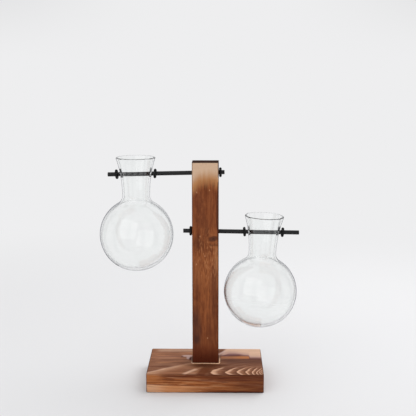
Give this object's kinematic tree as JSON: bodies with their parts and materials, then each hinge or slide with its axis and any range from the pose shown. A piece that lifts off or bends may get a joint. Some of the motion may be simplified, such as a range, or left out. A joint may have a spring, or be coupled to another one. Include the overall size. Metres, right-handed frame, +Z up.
{
  "type": "propagation vase",
  "caption": "Charred pine stand on a rectangular board, with clear glass bulb vases hung by their drilled necks from black rods that rubber rings hold in place.",
  "frame": {"origin": "centre of the board's underside, the face that the stand rests on", "axes": "+X along the rods towards the lower vase's side, +Y from the front to the back, +Z up the post"},
  "size_m": [0.1893, 0.0745, 0.2168],
  "materials": {
    "charred_pine": "scorched and brushed pine with a matt oil finish",
    "black_rod": "satin black",
    "black_rubber": "matt black rubber",
    "clear_glass": "clear blown glass with a fire-polished rim",
    "zinc_screw": "bright zinc plate"
  },
  "bodies": {
    "stand": {"base_board": "charred_pine", "upright_post": "charred_pine", "post_screw": "zinc_screw"},
    "upper_rod": {"upper_rod": "black_rod"},
    "upper_bulb": {"upper_bulb_vase": "clear_glass"},
    "upper_post_ring": {"upper_post_ring": "black_rubber"},
    "upper_inner_ring": {"upper_inner_ring": "black_rubber"},
    "upper_outer_ring": {"upper_outer_ring": "black_rubber"},
    "lower_rod": {"lower_rod": "black_rod"},
    "lower_bulb": {"lower_bulb_vase": "clear_glass"},
    "lower_post_ring": {"lower_post_ring": "black_rubber"},
    "lower_inner_ring": {"lower_inner_ring": "black_rubber"},
    "lower_outer_ring": {"lower_outer_ring": "black_rubber"}
  },
  "joints": [
    {"name": "upper_rod_slide", "type": "slide", "parent": "stand", "child": "upper_rod", "axis": [0.9998, 0, 0.0209], "range_m": [0, 0.005]},
    {"name": "upper_bulb_swing", "type": "hinge", "parent": "upper_rod", "child": "upper_bulb", "pos_m": [-0.06549, 0.0045, 0.20113], "axis": [0.9998, 0, 0.0209], "continuous": true},
    {"name": "upper_post_ring_slide", "type": "slide", "parent": "upper_rod", "child": "upper_post_ring", "axis": [0.9998, 0, 0.0209], "range_m": [0, 0.0025]},
    {"name": "upper_inner_ring_slide", "type": "slide", "parent": "upper_rod", "child": "upper_inner_ring", "axis": [0.9998, 0, 0.0209], "range_m": [0, 0.028]},
    {"name": "upper_outer_ring_slide", "type": "slide", "parent": "upper_rod", "child": "upper_outer_ring", "axis": [-0.9998, 0, -0.0209], "range_m": [0, 0.007]},
    {"name": "lower_rod_slide", "type": "slide", "parent": "stand", "child": "lower_rod", "axis": [-0.9999, 0, 0.014], "range_m": [0, 0.004]},
    {"name": "lower_bulb_swing", "type": "hinge", "parent": "lower_rod", "child": "lower_bulb", "pos_m": [0.05509, 0.0045, 0.14563], "axis": [0.9999, 0, -0.014], "range_deg": [-135, 135]},
    {"name": "lower_post_ring_slide", "type": "slide", "parent": "lower_rod", "child": "lower_post_ring", "axis": [-0.9999, 0, 0.014], "range_m": [0, 0.0055]},
    {"name": "lower_inner_ring_slide", "type": "slide", "parent": "lower_rod", "child": "lower_inner_ring", "axis": [-0.9999, 0, 0.014], "range_m": [0, 0.0185]},
    {"name": "lower_outer_ring_slide", "type": "slide", "parent": "lower_rod", "child": "lower_outer_ring", "axis": [0.9999, 0, -0.014], "range_m": [0, 0.014]}
  ]
}
